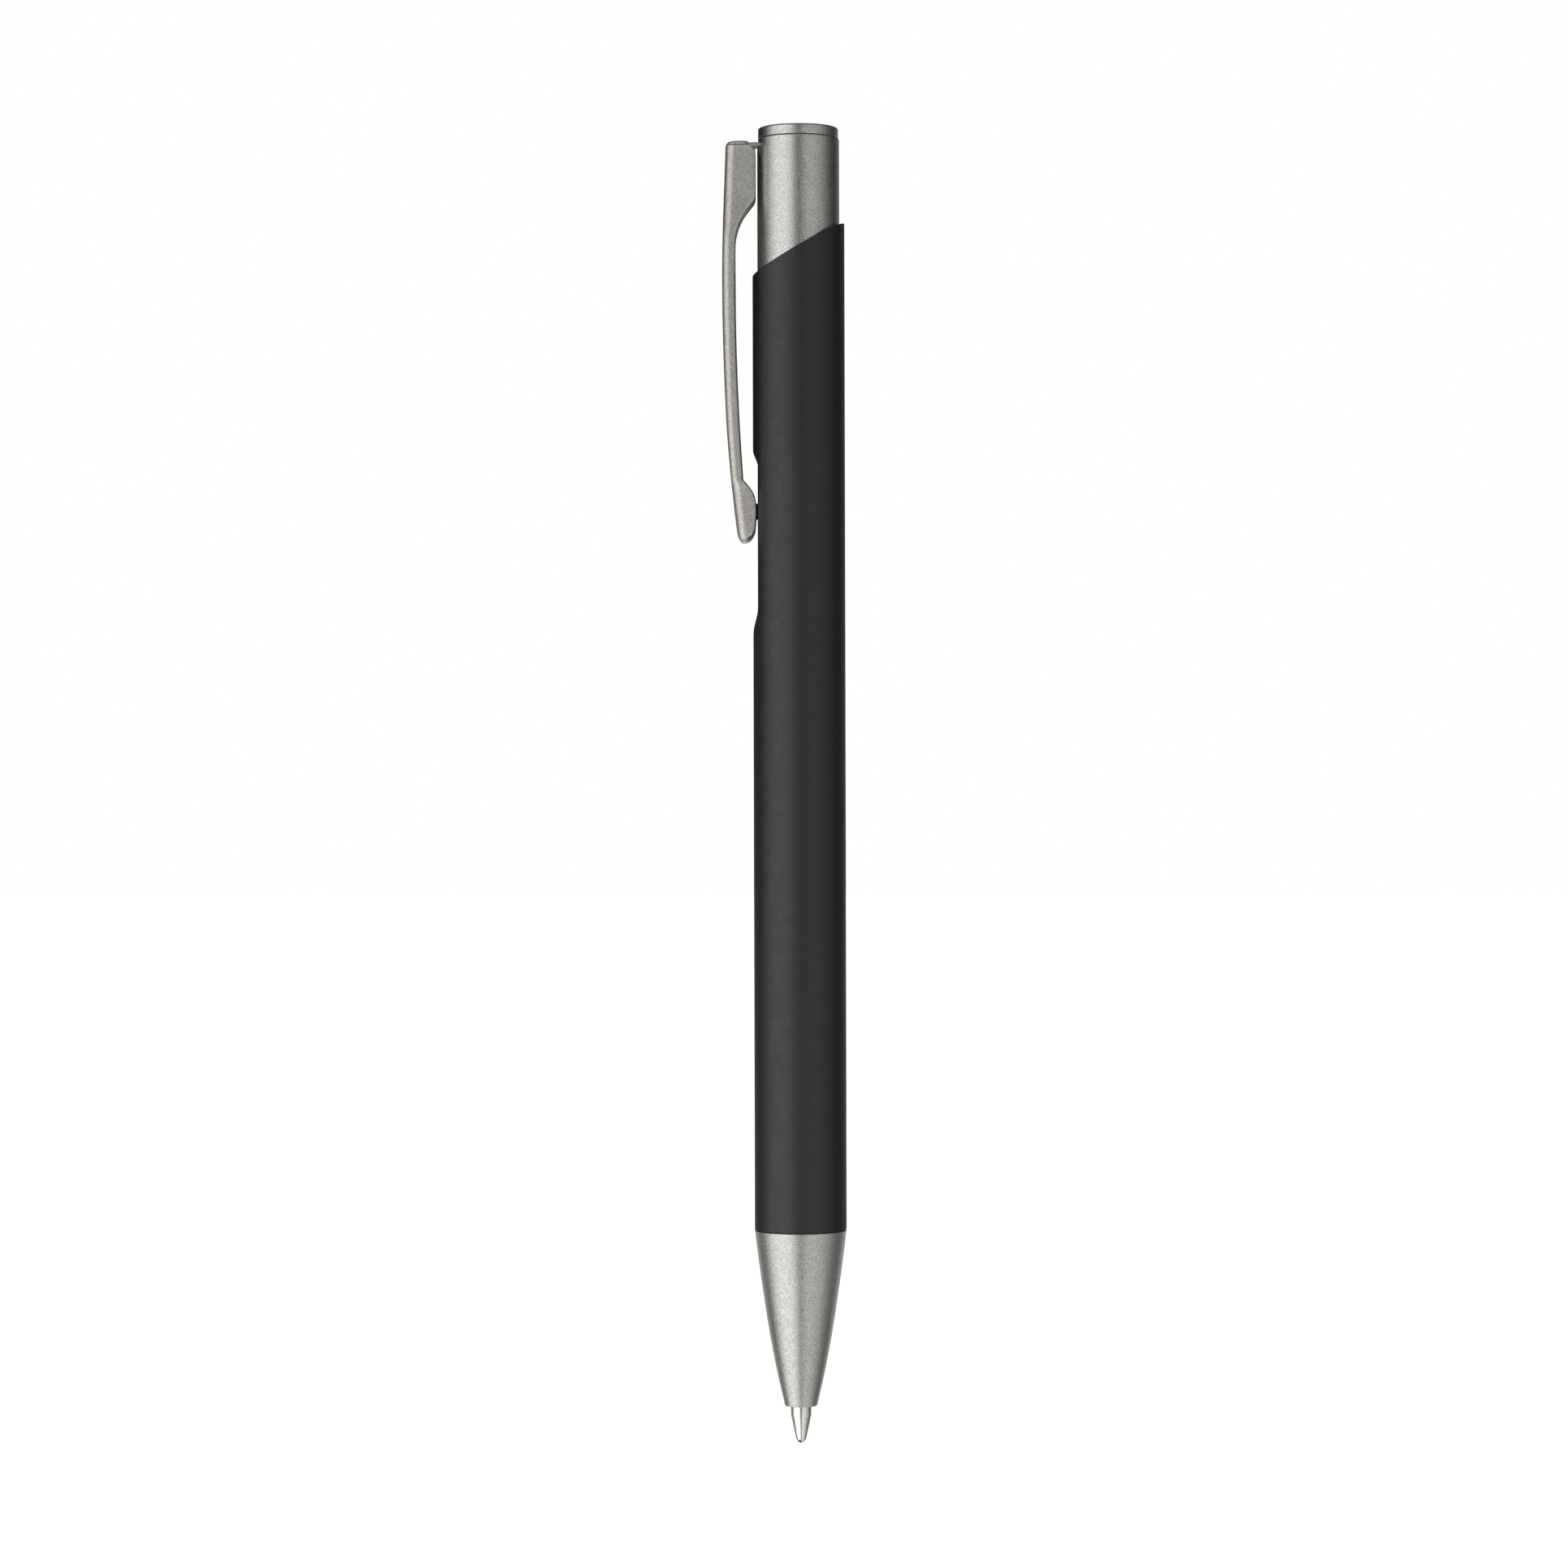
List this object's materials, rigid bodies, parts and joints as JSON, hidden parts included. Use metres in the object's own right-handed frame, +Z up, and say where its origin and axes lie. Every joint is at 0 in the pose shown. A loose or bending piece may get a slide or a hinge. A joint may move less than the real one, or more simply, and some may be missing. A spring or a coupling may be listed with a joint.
{
  "type": "retractable ballpoint pen",
  "caption": "Retractable ballpoint pen: slim round metal barrel with a slanted mouth, tapered nose cone, and an upper tube with a spring clip that slides down as the push button.",
  "frame": {"origin": "middle of the cap's flat top face, on the pen's axis", "axes": "+Z up the pen's axis from the writing tip to the cap, -X towards the clip, Y across the clip"},
  "size_m": [0.0133, 0.01, 0.1426],
  "materials": {
    "black_lacquer": "matte soft-touch black lacquer over aluminium",
    "silver_lacquer": "satin gunmetal lacquer with fine metallic flake",
    "silver_lacquer_steel": "the same satin gunmetal lacquer on stamped spring steel",
    "nickel_silver": "turned and polished nickel silver",
    "carbide": "polished ball wetted with ink",
    "spring_steel": "drawn spring wire",
    "brass": "turned brass",
    "white_plastic": "natural moulded acetal",
    "black_plastic": "black moulded plastic",
    "blue_plastic": "blue moulded acetal",
    "clear_plastic": "extruded translucent polypropylene",
    "ink": "blue-black oil paste ink"
  },
  "bodies": {
    "barrel": {"barrel": "black_lacquer", "thread_bush": "brass", "cam_housing": "white_plastic", "return_spring": "spring_steel"},
    "nose": {"nose_cone": "silver_lacquer"},
    "plunger": {"plunger_tube": "silver_lacquer", "plunger_cap": "silver_lacquer", "plunger_plug": "black_plastic", "retaining_ring": "white_plastic", "cam_pusher": "white_plastic"},
    "clip": {"clip": "silver_lacquer_steel"},
    "refill": {"refill_tube": "clear_plastic", "ink_column": "ink", "tip_holder": "white_plastic", "writing_point": "nickel_silver"},
    "rotor": {"cam_rotor": "blue_plastic"},
    "ball": {"writing_ball": "carbide"}
  },
  "joints": [
    {"name": "plunger_slide", "type": "slide", "parent": "barrel", "child": "plunger", "axis": [0, 0, 1], "range_m": [-0.001, 0.0043]},
    {"name": "refill_slide", "type": "slide", "parent": "barrel", "child": "refill", "axis": [0, 0, 1], "range_m": [-0.001, 0.0043], "deforming": ["return_spring"]},
    {"name": "rotor_turn", "type": "hinge", "parent": "refill", "child": "rotor", "pos_m": [0, 0, -0.034], "axis": [0, 0, 1], "continuous": true},
    {"name": "ball_roll", "type": "hinge", "parent": "refill", "child": "ball", "pos_m": [0, 0, -0.14215], "axis": [0, 1, 0], "continuous": true},
    {"name": "clip_flex", "type": "hinge", "parent": "plunger", "child": "clip", "pos_m": [-0.0046, 0, -0.0017], "axis": [0, 1, 0], "range_deg": [0, 5], "stiffness_Nm_per_rad": 3.5},
    {"name": "nose_pull", "type": "slide", "parent": "barrel", "child": "nose", "axis": [0, 0, -1], "range_m": [0, 0.03]}
  ],
  "couplings": [
    {"joint": "refill_slide", "follows": "plunger_slide", "ratio": 1}
  ]
}
